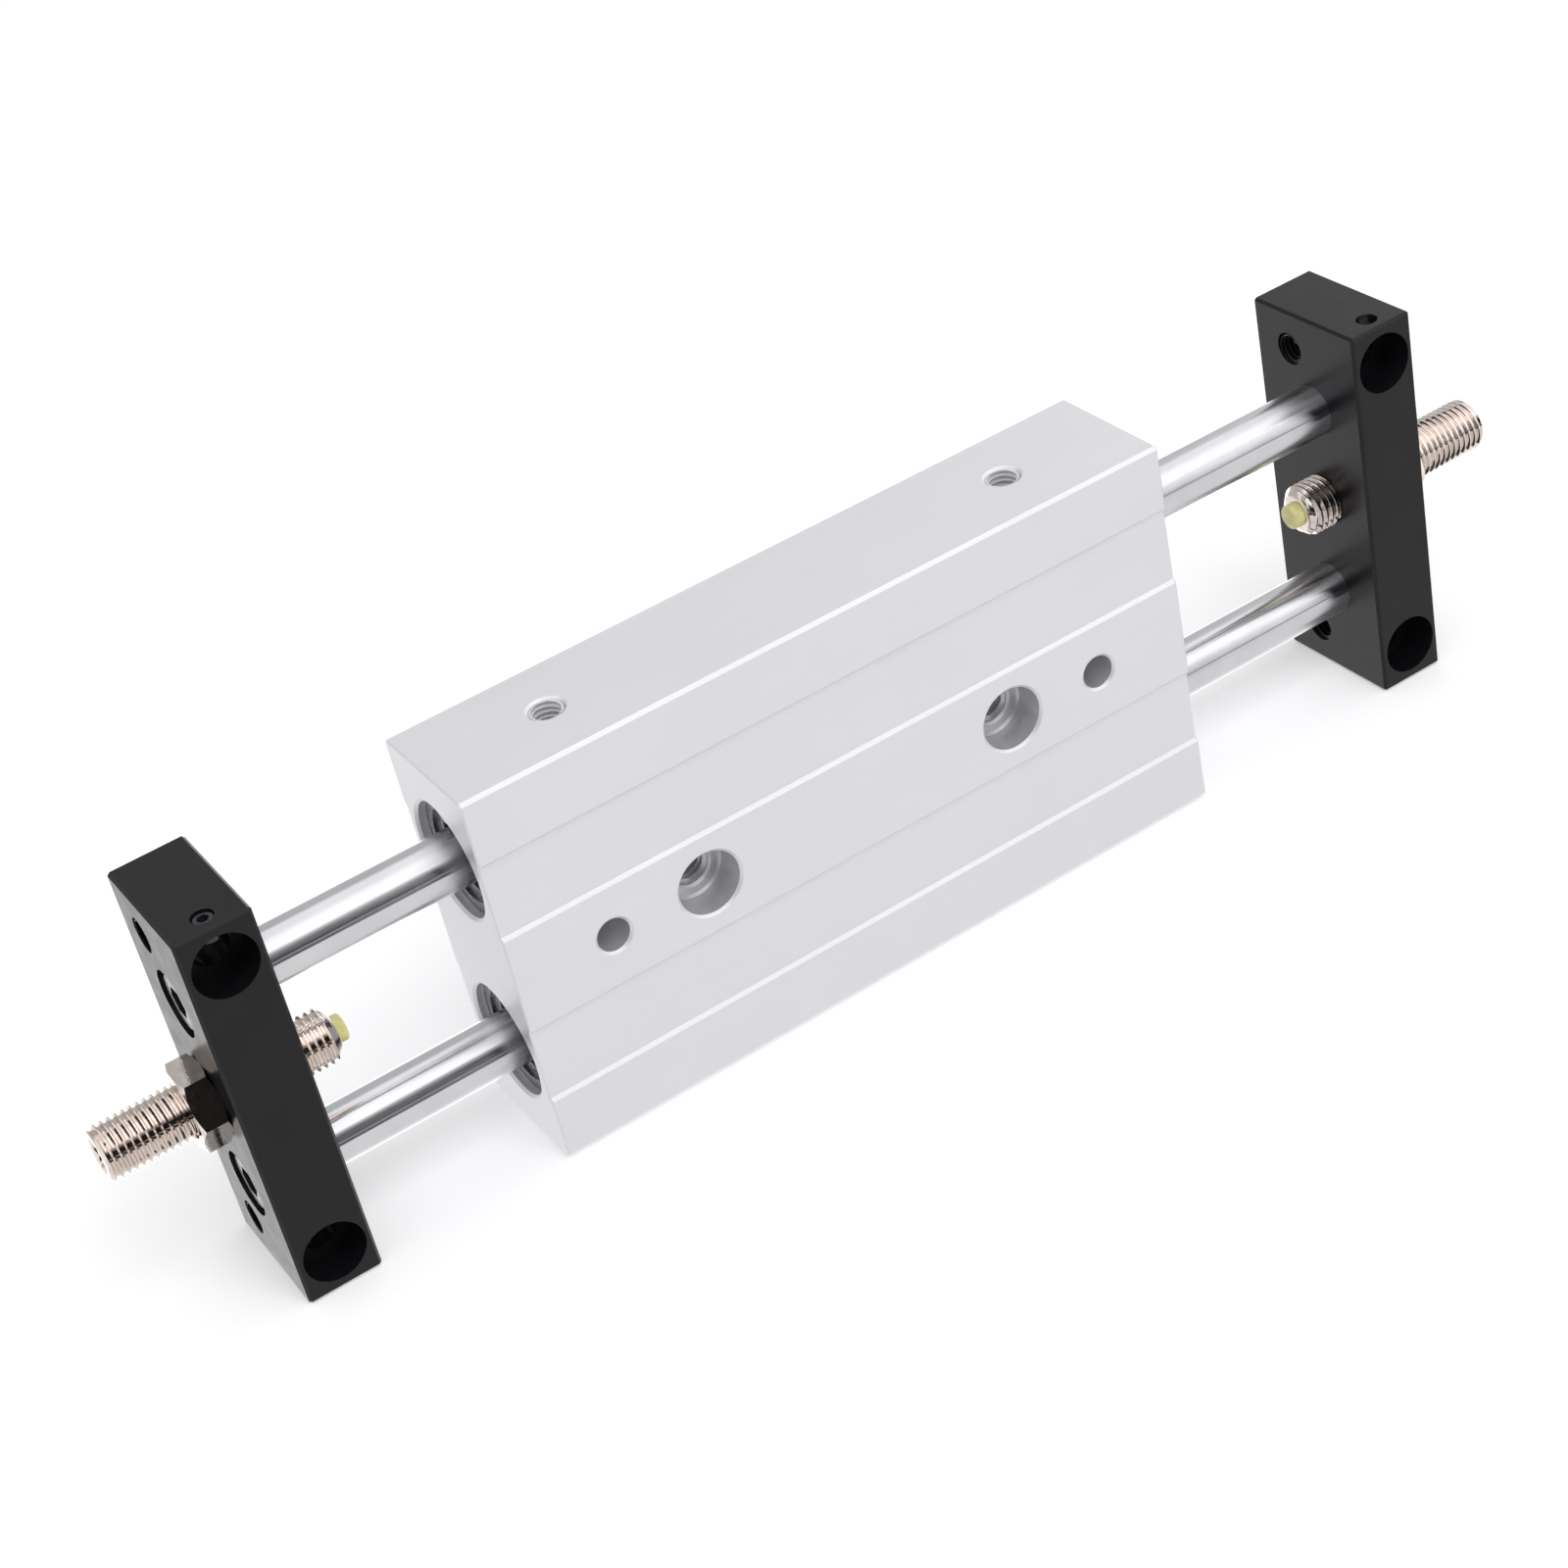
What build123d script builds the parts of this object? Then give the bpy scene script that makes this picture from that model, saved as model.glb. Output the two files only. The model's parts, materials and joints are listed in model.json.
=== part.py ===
from build123d import *
import os

os.makedirs("parts", exist_ok=True)

# Pneumatic slide table: two rods joined by two end plates, and a twin-bore
# housing that slides along them. All sizes are in millimetres.
# X runs along the rods, -Y is the wide working face, +Z is the air-port side.
# The origin is under the middle of the whole part, on the surface it stands on.

# Housing extrusion
housing_length = 110.0
housing_height = 59.0
housing_thickness = 21.5
housing_chamfer = 0.5
housing_end_break = 0.2
centre_land_height = 15.0
outer_land_height = 9.75
face_recess_depth = 0.5
face_recess_slope = 0.5

# Holes in the housing
mount_hole_spacing = 50.0
mount_hole_diameter = 6.0
mount_counterbore_diameter = 9.5
mount_counterbore_depth = 5.5
pin_hole_spacing = 80.0
pin_hole_diameter = 5.0
pin_hole_depth = 6.0
port_spacing = 73.0
port_diameter = 5.0
port_depth = 5.0
air_passage_diameter = 3.0
hole_chamfer = 0.35

# Bores and what closes them
bore_diameter = 16.0
rod_spacing = 30.5
mouth_diameter = 17.0
mouth_depth = 5.0
mouth_chamfer = 0.4
snap_ring_setback = 1.6
snap_ring_thickness = 1.0
snap_ring_diameter = 17.7
snap_ring_opening = 13.8
snap_ring_ear_diameter = 3.0
snap_ring_ear_inset = 0.75
snap_ring_eye_diameter = 1.2
snap_ring_ear_angle = 17.0
snap_ring_gap = 1.6
cover_flange_thickness = 2.4
cover_length = 14.4
cover_lip_diameter = 8.6
rod_seal_diameter = 12.0
rod_seal_length = 3.0
rod_seal_wall = 0.9
bush_diameter = 10.0
bush_length = 9.0
bush_chamfer = 0.2
o_ring_section = 1.4
o_ring_from_flange = 6.0

# Rods and pistons
rod_diameter = 8.0
rod_chamfer = 0.5
rod_socket_depth = 2.5
rod_thread_diameter = 5.0
rod_thread_depth = 14.0
piston_length = 22.0
bumper_thickness = 1.0
bumper_wall = 1.6
clip_thickness = 0.8
clip_diameter = 11.2
clip_groove_diameter = 7.2
wear_ring_length = 3.0
wear_ring_thickness = 1.0
piston_seal_length = 2.4
piston_seal_thickness = 1.9
magnet_length = 4.0
magnet_thickness = 1.6
piston_land = 2.0

# End plates
plate_length = 10.8
plate_height = 60.0
plate_thickness = 21.5
plate_chamfer = 0.4
plate_setback = 0.5
left_gap = 28.5
right_gap = 35.2
plate_hole_from_end = 6.0
plate_counterbore_diameter = 9.0
plate_counterbore_depth = 5.5
plate_hole_diameter = 5.5
face_hole_diameter = 5.0
face_hole_from_front = 14.2
screw_recess_diameter = 9.6
screw_recess_depth = 5.4
lock_hole_from_front = 3.0

# Fasteners
rod_screw_head_diameter = 8.5
rod_screw_head_height = 5.0
rod_screw_length = 12.0
rod_screw_hex = 4.0
rod_screw_hex_depth = 2.5
set_screw_diameter = 3.0
set_screw_length = 3.0
set_screw_hex = 1.5
set_screw_hex_depth = 1.2
set_screw_sunk = 0.3
screw_chamfer = 0.4

# Adjustable stops
stop_diameter = 8.0
stop_screw_length = 33.4
stop_chamfer = 0.9
left_stop_reach = 8.2
right_stop_reach = 6.6
pad_diameter = 3.8
pad_protrusion = 1.6
pad_socket_depth = 4.0
pad_round = 0.4
stop_hex = 4.0
stop_hex_depth = 3.0
nut_across_flats = 11.0
nut_thickness = 4.0
nut_bevel = 0.5

# Clearances
running_clearance = 0.04
piston_clearance = 0.08
seat_clearance = 0.05

# Places worked out from the sizes above
plate_hole_spacing = plate_height - 2 * plate_hole_from_end
plate_span = left_gap + housing_length + right_gap
stop_length = stop_screw_length + pad_protrusion
left_stop_outer = stop_length - left_stop_reach - plate_length
right_stop_outer = stop_length - right_stop_reach - plate_length
span_x = (left_stop_outer - right_stop_outer) / 2
left_inner_x = span_x - plate_span / 2
right_inner_x = span_x + plate_span / 2
housing_left = left_inner_x + left_gap
housing_right = housing_left + housing_length
housing_x = (housing_left + housing_right) / 2

front_y = -(max(housing_thickness, plate_setback + plate_thickness)) / 2
housing_y = front_y + housing_thickness / 2
plate_front_y = front_y + plate_setback
plate_y = plate_front_y + plate_thickness / 2
rod_y = housing_y

centre_z = plate_height / 2
housing_top = centre_z + housing_height / 2
upper_z = centre_z + rod_spacing / 2
lower_z = centre_z - rod_spacing / 2
rod_heights = {"upper": upper_z, "lower": lower_z}
ends = {"left": -1, "right": 1}

rod_r = rod_diameter / 2
bore_r = bore_diameter / 2
stop_r = stop_diameter / 2


def save(part, name):
    """Label a finished piece and write it under its own name."""
    part.label = name
    export_step(part, f"parts/{name}.step")


def end_plane(x, z):
    """A plane square to the rods at x, centred on the axis at height z."""
    return Plane(origin=(x, rod_y, z), x_dir=(0, 1, 0), z_dir=(1, 0, 0))


def side_plane(x, z, side):
    """The same, with its normal pointing to the left (-1) or right (1) end."""
    return Plane(origin=(x, rod_y, z), x_dir=(0, 1, 0), z_dir=(side, 0, 0))


def axis_plane(x, z):
    """A plane through a rod axis: local x runs along it, local y is the radius."""
    return Plane(origin=(x, rod_y, z), x_dir=(1, 0, 0), z_dir=(0, -1, 0))


def axis_at(z):
    """The axis along X at height z."""
    return Axis((0, rod_y, z), (1, 0, 0))


def turned(outline, x, z):
    """A turned piece from (length, radius) points, measured along X from x."""
    with BuildPart() as piece:
        with BuildSketch(axis_plane(x, z)):
            with BuildLine():
                Polyline(*outline, close=True)
            make_face()
        revolve(axis=axis_at(z))
    return piece.part


def collar(inner, outer, length, x, z):
    """A plain ring between two diameters, starting at x."""
    with BuildPart() as piece:
        with BuildSketch(end_plane(x, z)):
            Circle(outer / 2)
            Circle(inner / 2, mode=Mode.SUBTRACT)
        extrude(amount=length)
    return piece.part


# Housing
bore_mouths = [(housing_left, 1), (housing_right, -1)]
groove_diameter = snap_ring_diameter + 2 * seat_clearance
groove_width = snap_ring_thickness + 2 * seat_clearance
recess_height = (housing_height - centre_land_height) / 2 - outer_land_height
recess_centre = centre_land_height / 2 + recess_height / 2
recess_half = recess_height / 2
recess_outline = [
    (0, recess_half),
    (face_recess_depth, recess_half - face_recess_slope),
    (face_recess_depth, face_recess_slope - recess_half),
    (0, -recess_half),
    (-face_recess_depth, face_recess_slope - recess_half),
    (-face_recess_depth, recess_half - face_recess_slope),
]
step_y = front_y + mount_counterbore_depth
edge_reach = seat_clearance / 2
housing_front = Plane(origin=(housing_x, front_y, centre_z), x_dir=(1, 0, 0), z_dir=(0, -1, 0))
housing_roof = Plane(origin=(housing_x, rod_y, housing_top), x_dir=(1, 0, 0), z_dir=(0, 0, 1))

with BuildPart() as housing:
    with BuildSketch(Plane(origin=(housing_left, housing_y, centre_z), x_dir=(0, 1, 0), z_dir=(1, 0, 0))):
        Rectangle(housing_thickness, housing_height)
        with GridLocations(housing_thickness, 2 * recess_centre, 2, 2):
            Polygon(*recess_outline, mode=Mode.SUBTRACT)
    extrude(amount=housing_length)
    long_edges = housing.edges().filter_by(Axis.X).group_by(Axis.Z)
    chamfer(long_edges[0] + long_edges[-1], length=housing_chamfer)
    end_faces = housing.faces().sort_by(Axis.X)
    chamfer(end_faces[0].edges() + end_faces[-1].edges(), length=housing_end_break)
    for end_x, inward in bore_mouths:
        for axis_z in rod_heights.values():
            with BuildSketch(side_plane(end_x, axis_z, inward)):
                Circle(mouth_diameter / 2)
            extrude(amount=mouth_depth, mode=Mode.SUBTRACT)
            groove_x = end_x + inward * (snap_ring_setback - seat_clearance)
            with BuildSketch(side_plane(groove_x, axis_z, inward)):
                Circle(groove_diameter / 2)
            extrude(amount=groove_width, mode=Mode.SUBTRACT)
    for axis_z in rod_heights.values():
        with BuildSketch(end_plane(housing_left, axis_z)):
            Circle(bore_r)
        extrude(amount=housing_length, mode=Mode.SUBTRACT)
    end_faces = housing.faces().sort_by(Axis.X)
    mouth_edges = end_faces[0].inner_wires().edges() + end_faces[-1].inner_wires().edges()
    chamfer(mouth_edges, length=mouth_chamfer)
    with Locations(housing_roof):
        with GridLocations(port_spacing, 0, 2, 1):
            CounterBoreHole(
                radius=air_passage_diameter / 2,
                counter_bore_radius=port_diameter / 2,
                counter_bore_depth=port_depth,
                depth=housing_top - lower_z,
            )
    roof_face = housing.faces().sort_by(Axis.Z)[-1]
    chamfer(roof_face.inner_wires().edges(), length=hole_chamfer)
    with Locations(housing_front):
        with GridLocations(mount_hole_spacing, 0, 2, 1):
            CounterBoreHole(
                radius=mount_hole_diameter / 2,
                counter_bore_radius=mount_counterbore_diameter / 2,
                counter_bore_depth=mount_counterbore_depth,
                depth=housing_thickness,
            )
        with GridLocations(pin_hole_spacing, 0, 2, 1):
            Hole(radius=pin_hole_diameter / 2, depth=pin_hole_depth)
    round_edges = housing.edges().filter_by(GeomType.CIRCLE)
    rims = round_edges.group_by(Axis.Y)
    steps = round_edges.filter_by_position(Axis.Y, step_y - edge_reach, step_y + edge_reach)
    step_rims = steps.sort_by(SortBy.RADIUS)[0:2]
    chamfer(rims[0] + rims[-1] + step_rims, length=hole_chamfer)
save(housing.part, "housing")


# Rod covers with their bushes, seals and snap rings, one set in each bore mouth
cover_outer = mouth_diameter / 2 - seat_clearance
cover_body = bore_r - seat_clearance
flange_start = snap_ring_setback + snap_ring_thickness
seal_pocket = rod_seal_diameter / 2 + seat_clearance
bush_pocket = bush_diameter / 2 + seat_clearance
o_ring_groove = cover_body - o_ring_section + seat_clearance
o_ring_room = o_ring_section + 4 * seat_clearance
bush_start = cover_length - bush_length


def rod_cover(end_x, inward, z):
    """Flanged cover that closes a bore mouth and guides the rod."""
    outline = [
        (0, seal_pocket),
        (0, cover_outer),
        (cover_flange_thickness, cover_outer),
        (cover_flange_thickness, cover_body),
        (o_ring_from_flange, cover_body),
        (o_ring_from_flange, o_ring_groove),
        (o_ring_from_flange + o_ring_room, o_ring_groove),
        (o_ring_from_flange + o_ring_room, cover_body),
        (cover_length, cover_body),
        (cover_length, bush_pocket),
        (bush_start, bush_pocket),
        (bush_start, cover_lip_diameter / 2),
        (rod_seal_length, cover_lip_diameter / 2),
        (rod_seal_length, seal_pocket),
    ]
    points = [(inward * length, radius) for length, radius in outline]
    return turned(points, end_x + inward * flange_start, z)


def rod_bush(end_x, inward, z):
    """Plain bearing bush pressed into the inner end of a cover."""
    start = end_x + inward * (flange_start + bush_start)
    with BuildPart() as piece:
        with BuildSketch(side_plane(start, z, inward)):
            Circle(bush_diameter / 2)
            Circle(rod_r + running_clearance, mode=Mode.SUBTRACT)
        extrude(amount=bush_length)
        chamfer(piece.edges().filter_by(GeomType.CIRCLE).sort_by(SortBy.RADIUS)[0:2], length=bush_chamfer)
    return piece.part


def rod_seal(end_x, inward, z):
    """U-section rod seal whose lip faces the outside and wipes the rod."""
    inner = rod_r + running_clearance
    outer = rod_seal_diameter / 2
    groove_floor = rod_seal_length / 2
    outline = [
        (0, inner),
        (0, inner + rod_seal_wall / 2),
        (groove_floor, inner + rod_seal_wall),
        (groove_floor, outer - rod_seal_wall),
        (0, outer - rod_seal_wall / 2),
        (0, outer),
        (rod_seal_length, outer),
        (rod_seal_length, inner),
    ]
    points = [(inward * length, radius) for length, radius in outline]
    return turned(points, end_x + inward * flange_start, z)


def cover_o_ring(end_x, inward, z):
    """O-ring in the groove round a cover."""
    ring_x = end_x + inward * (flange_start + o_ring_from_flange + o_ring_room / 2)
    ring_r = o_ring_section / 2
    with BuildPart() as piece:
        with BuildSketch(axis_plane(ring_x, z)):
            with Locations((0, cover_body + seat_clearance / 2 - ring_r)):
                Circle(ring_r - seat_clearance / 2)
        revolve(axis=axis_at(z))
    return piece.part


def snap_ring(end_x, inward, z):
    """Internal snap ring with two eyes, sprung into its groove."""
    ear_radius = snap_ring_opening / 2 - snap_ring_ear_inset
    ears = [90 - snap_ring_ear_angle, 90 + snap_ring_ear_angle]
    with BuildPart() as piece:
        with BuildSketch(end_plane(end_x + inward * snap_ring_setback, z)):
            Circle(snap_ring_diameter / 2)
            Circle(snap_ring_opening / 2, mode=Mode.SUBTRACT)
            for angle in ears:
                with PolarLocations(ear_radius, 1, start_angle=angle):
                    Circle(snap_ring_ear_diameter / 2)
            for angle in ears:
                with PolarLocations(ear_radius, 1, start_angle=angle):
                    Circle(snap_ring_eye_diameter / 2, mode=Mode.SUBTRACT)
            with Locations((0, snap_ring_diameter / 2)):
                Rectangle(snap_ring_gap, snap_ring_diameter, mode=Mode.SUBTRACT)
        extrude(amount=inward * snap_ring_thickness)
    return piece.part


cover_set = {
    "rod_cover": rod_cover,
    "rod_bush": rod_bush,
    "rod_seal": rod_seal,
    "cover_o_ring": cover_o_ring,
    "snap_ring": snap_ring,
}
mouths = {"left": (housing_left, 1), "right": (housing_right, -1)}
for level, axis_z in rod_heights.items():
    for end, (end_x, inward) in mouths.items():
        for kind, make in cover_set.items():
            save(make(end_x, inward, axis_z), f"{level}_{end}_{kind}")


# Rods, each running from plate to plate through its piston
piston_left = span_x - piston_length / 2
piston_right = span_x + piston_length / 2
rod_left = left_inner_x - rod_socket_depth
rod_right = right_inner_x + rod_socket_depth
clip_starts = [piston_left - clip_thickness, piston_right]

for level, axis_z in rod_heights.items():
    with BuildPart() as rod:
        with BuildSketch(end_plane(rod_left, axis_z)):
            Circle(rod_r)
        extrude(amount=rod_right - rod_left)
        chamfer(rod.edges().filter_by(GeomType.CIRCLE), length=rod_chamfer)
        for face_x, outward in [(rod_left, -1), (rod_right, 1)]:
            with Locations(side_plane(face_x, axis_z, outward)):
                Hole(radius=rod_thread_diameter / 2, depth=rod_thread_depth)
        for start in clip_starts:
            with BuildSketch(end_plane(start, axis_z)):
                Circle(rod_r)
                Circle(clip_groove_diameter / 2, mode=Mode.SUBTRACT)
            extrude(amount=clip_thickness, mode=Mode.SUBTRACT)
    save(rod.part, f"{level}_rod")


# Pistons with their wear ring, seals, magnet, bumpers and clips
piston_r = bore_r - piston_clearance
piston_hole = rod_diameter + seat_clearance
bumper_outer = 2 * piston_r - 2 * seat_clearance
bumper_inner = bumper_outer - 2 * bumper_wall
wear_ring_start = piston_left + (piston_length - wear_ring_length) / 2
magnet_start = piston_right - piston_land - magnet_length
seal_starts = [
    piston_left + piston_land,
    wear_ring_start - piston_land - piston_seal_length,
]


def piston(z):
    """Piston body with grooves for its rings."""
    grooves = [(wear_ring_start, wear_ring_length, wear_ring_thickness)]
    grooves.append((magnet_start, magnet_length, magnet_thickness))
    for start in seal_starts:
        grooves.append((start, piston_seal_length, piston_seal_thickness))
    with BuildPart() as piece:
        with BuildSketch(end_plane(piston_left, z)):
            Circle(piston_r)
            Circle(piston_hole / 2, mode=Mode.SUBTRACT)
        extrude(amount=piston_length)
        for start, length, depth in grooves:
            with BuildSketch(end_plane(start, z)):
                Circle(piston_r)
                Circle(piston_r - depth, mode=Mode.SUBTRACT)
            extrude(amount=length, mode=Mode.SUBTRACT)
    return piece.part


def groove_ring(z, start, length, depth):
    """A ring that fills a piston groove."""
    inner = 2 * (piston_r - depth + seat_clearance / 2)
    return collar(inner, 2 * piston_r, length, start, z)


for level, axis_z in rod_heights.items():
    save(piston(axis_z), f"{level}_piston")
    wear_ring = groove_ring(axis_z, wear_ring_start, wear_ring_length, wear_ring_thickness)
    save(wear_ring, f"{level}_wear_ring")
    magnet = groove_ring(axis_z, magnet_start, magnet_length, magnet_thickness)
    save(magnet, f"{level}_magnet")
    seals = [groove_ring(axis_z, start, piston_seal_length, piston_seal_thickness) for start in seal_starts]
    save(Compound(children=seals), f"{level}_piston_seals")
    bumper_starts = [piston_left - bumper_thickness, piston_right]
    bumpers = [collar(bumper_inner, bumper_outer, bumper_thickness, x, axis_z) for x in bumper_starts]
    save(Compound(children=bumpers), f"{level}_bumpers")
    clip_inner = clip_groove_diameter + seat_clearance
    clips = [collar(clip_inner, clip_diameter, clip_thickness, x, axis_z) for x in clip_starts]
    save(Compound(children=clips), f"{level}_piston_clips")


# End plates
plate_inner = {"left": left_inner_x, "right": right_inner_x}
face_hole_y = plate_front_y + face_hole_from_front
screw_hole_r = rod_thread_diameter / 2 + seat_clearance

for end, side in ends.items():
    inner_x = plate_inner[end]
    outer_x = inner_x + side * plate_length
    plate_x = inner_x + side * plate_length / 2
    outer_centre = Plane(origin=(outer_x, rod_y, centre_z), x_dir=(0, 1, 0), z_dir=(side, 0, 0))
    outer_tapped = Plane(origin=(outer_x, face_hole_y, centre_z), x_dir=(0, 1, 0), z_dir=(side, 0, 0))
    inner_centre = Plane(origin=(inner_x, rod_y, centre_z), x_dir=(0, 1, 0), z_dir=(-side, 0, 0))
    front = Plane(origin=(plate_x, plate_front_y, centre_z), x_dir=(1, 0, 0), z_dir=(0, -1, 0))
    roof = Plane(origin=(plate_x, plate_front_y + lock_hole_from_front, plate_height))
    with BuildPart() as plate:
        with BuildSketch(Plane(origin=(plate_x, plate_y, 0))):
            Rectangle(plate_length, plate_thickness)
        extrude(amount=plate_height)
        chamfer(plate.edges(), length=plate_chamfer)
        with Locations(outer_centre):
            Hole(radius=stop_r + running_clearance, depth=plate_length)
            with GridLocations(0, rod_spacing, 1, 2):
                CounterBoreHole(
                    radius=screw_hole_r,
                    counter_bore_radius=screw_recess_diameter / 2,
                    counter_bore_depth=screw_recess_depth,
                    depth=plate_length,
                )
        with Locations(outer_tapped):
            with GridLocations(0, plate_hole_spacing, 1, 2):
                Hole(radius=face_hole_diameter / 2, depth=plate_length)
        with Locations(inner_centre):
            with GridLocations(0, rod_spacing, 1, 2):
                Hole(radius=rod_r + seat_clearance / 2, depth=rod_socket_depth)
        with Locations(front):
            with GridLocations(0, plate_hole_spacing, 1, 2):
                CounterBoreHole(
                    radius=plate_hole_diameter / 2,
                    counter_bore_radius=plate_counterbore_diameter / 2,
                    counter_bore_depth=plate_counterbore_depth,
                    depth=plate_thickness,
                )
        with Locations(roof):
            Hole(radius=set_screw_diameter / 2 + seat_clearance, depth=plate_hole_from_end)
    save(plate.part, f"{end}_end_plate")


# Socket-head screws that clamp the plates to the rods
rod_screw_shank = rod_thread_diameter / 2 - seat_clearance

for end, side in ends.items():
    seat_x = plate_inner[end] + side * (plate_length - screw_recess_depth)
    screws = []
    for axis_z in rod_heights.values():
        with BuildPart() as screw:
            with BuildSketch(side_plane(seat_x, axis_z, side)):
                Circle(rod_screw_head_diameter / 2)
            extrude(amount=rod_screw_head_height)
            head_rim = screw.edges().filter_by(GeomType.CIRCLE).sort_by(Axis((0, 0, 0), (side, 0, 0)))[-1]
            chamfer(head_rim, length=screw_chamfer)
            with BuildSketch(side_plane(seat_x, axis_z, -side)):
                Circle(rod_screw_shank)
            extrude(amount=rod_screw_length)
            with BuildSketch(side_plane(seat_x + side * rod_screw_head_height, axis_z, -side)):
                RegularPolygon(rod_screw_hex / 2, 6, major_radius=False)
            extrude(amount=rod_screw_hex_depth, mode=Mode.SUBTRACT)
        screws.append(screw.part)
    save(Compound(children=screws), f"{end}_rod_screws")


# Set screw in the left plate's top hole
set_screw_top = plate_height - set_screw_sunk
left_plate_x = left_inner_x - plate_length / 2
set_screw_plane = Plane(origin=(left_plate_x, plate_front_y + lock_hole_from_front, set_screw_top))

with BuildPart() as set_screw:
    with BuildSketch(set_screw_plane):
        Circle(set_screw_diameter / 2)
    extrude(amount=-set_screw_length)
    chamfer(set_screw.edges().filter_by(GeomType.CIRCLE), length=screw_chamfer / 2)
    with BuildSketch(set_screw_plane):
        RegularPolygon(set_screw_hex / 2, 6, major_radius=False)
    extrude(amount=-set_screw_hex_depth, mode=Mode.SUBTRACT)
save(set_screw.part, "left_plate_set_screw")


# Stops: a threaded screw with a pad in its inner end and a lock nut outside the plate
pad_socket_r = pad_diameter / 2 + seat_clearance / 2
nut_corner_r = nut_across_flats / 3 ** 0.5
stop_reach = {"left": left_stop_reach, "right": right_stop_reach}

for end, side in ends.items():
    pad_tip_x = plate_inner[end] - side * stop_reach[end]
    screw_tip_x = pad_tip_x + side * pad_protrusion
    screw_end_x = screw_tip_x + side * stop_screw_length
    with BuildPart() as stop_screw:
        with BuildSketch(side_plane(screw_tip_x, centre_z, side)):
            Circle(stop_r)
        extrude(amount=stop_screw_length)
        chamfer(stop_screw.edges().filter_by(GeomType.CIRCLE), length=stop_chamfer)
        with Locations(side_plane(screw_tip_x, centre_z, -side)):
            Hole(radius=pad_socket_r, depth=pad_socket_depth)
        with BuildSketch(side_plane(screw_end_x, centre_z, -side)):
            RegularPolygon(stop_hex / 2, 6, major_radius=False)
        extrude(amount=stop_hex_depth, mode=Mode.SUBTRACT)
    save(stop_screw.part, f"{end}_stop_screw")
    with BuildPart() as pad:
        with BuildSketch(side_plane(pad_tip_x, centre_z, side)):
            Circle(pad_diameter / 2)
        extrude(amount=pad_protrusion + pad_socket_depth)
        tip_rim = pad.edges().filter_by(GeomType.CIRCLE).sort_by(Axis((0, 0, 0), (side, 0, 0)))[0]
        fillet(tip_rim, radius=pad_round)
    save(pad.part, f"{end}_stop_pad")
    nut_x = plate_inner[end] + side * plate_length
    nut_profile = [
        (0, 0),
        (0, nut_across_flats / 2),
        (side * nut_bevel, nut_corner_r),
        (side * (nut_thickness - nut_bevel), nut_corner_r),
        (side * nut_thickness, nut_across_flats / 2),
        (side * nut_thickness, 0),
    ]
    with BuildPart() as nut:
        with BuildSketch(side_plane(nut_x, centre_z, side)):
            RegularPolygon(nut_across_flats / 2, 6, major_radius=False)
        extrude(amount=nut_thickness)
        with BuildSketch(axis_plane(nut_x, centre_z)):
            with BuildLine():
                Polyline(*nut_profile, close=True)
            make_face()
        revolve(axis=axis_at(centre_z), mode=Mode.INTERSECT)
        with Locations(side_plane(nut_x, centre_z, -side)):
            Hole(radius=stop_r + running_clearance, depth=nut_thickness)
    save(nut.part, f"{end}_lock_nut")
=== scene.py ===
import json
from math import atan2, ceil, cos, hypot, pi, radians

import bmesh
import bpy
from mathutils import Matrix, Vector


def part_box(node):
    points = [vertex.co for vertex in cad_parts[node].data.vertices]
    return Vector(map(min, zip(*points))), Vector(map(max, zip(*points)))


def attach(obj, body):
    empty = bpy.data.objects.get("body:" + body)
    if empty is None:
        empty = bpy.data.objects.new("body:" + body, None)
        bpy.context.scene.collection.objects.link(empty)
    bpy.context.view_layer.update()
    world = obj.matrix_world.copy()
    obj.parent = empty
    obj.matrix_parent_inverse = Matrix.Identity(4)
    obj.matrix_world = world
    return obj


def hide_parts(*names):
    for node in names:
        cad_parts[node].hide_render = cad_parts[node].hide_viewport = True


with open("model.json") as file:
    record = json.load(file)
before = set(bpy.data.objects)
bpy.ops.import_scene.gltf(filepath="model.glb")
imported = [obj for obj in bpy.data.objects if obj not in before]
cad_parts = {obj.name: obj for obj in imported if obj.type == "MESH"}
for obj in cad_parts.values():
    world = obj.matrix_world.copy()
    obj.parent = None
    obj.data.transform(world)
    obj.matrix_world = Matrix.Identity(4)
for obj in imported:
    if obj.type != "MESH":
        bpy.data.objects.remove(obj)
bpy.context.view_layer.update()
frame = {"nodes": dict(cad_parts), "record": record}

# Pneumatic slide table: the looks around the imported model, in metres.
# X runs along the rods, -Y is the wide working face, +Z is the air-port side.

MM = 0.001

# Threads, as outer diameter and pitch in millimetres
STOP_THREAD = (8.0, 1.0)
MOUNT_THREAD = (6.0, 1.0)
PORT_THREAD = (5.0, 0.8)
FACE_THREAD = (5.0, 0.8)
OUTER_THREAD_DEPTH = 0.5    # depth of a rolled and plated thread as a share of its pitch
INNER_THREAD_DEPTH = 0.541  # and of a tapped one
CREST_FLAT = 0.18           # width of a crest's flat as a share of the pitch
ROOT_FLAT = 0.22            # and of a root's
THREAD_STEPS = 48           # spin steps in one turn

# Stop screws, in millimetres
PAD_END_RADIUS = 2.9        # inside the end chamfer round the pad
SOCKET_END_RADIUS = 3.55    # and round the hex socket
PAD_POCKET_DIAMETER = 3.85
PAD_POCKET_DEPTH = 4.0
SOCKET_MOUTH_DIAMETER = 4.9
SOCKET_FLATS = 4.0
SOCKET_LEAD = 0.3
SOCKET_DEPTH = 3.0

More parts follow.
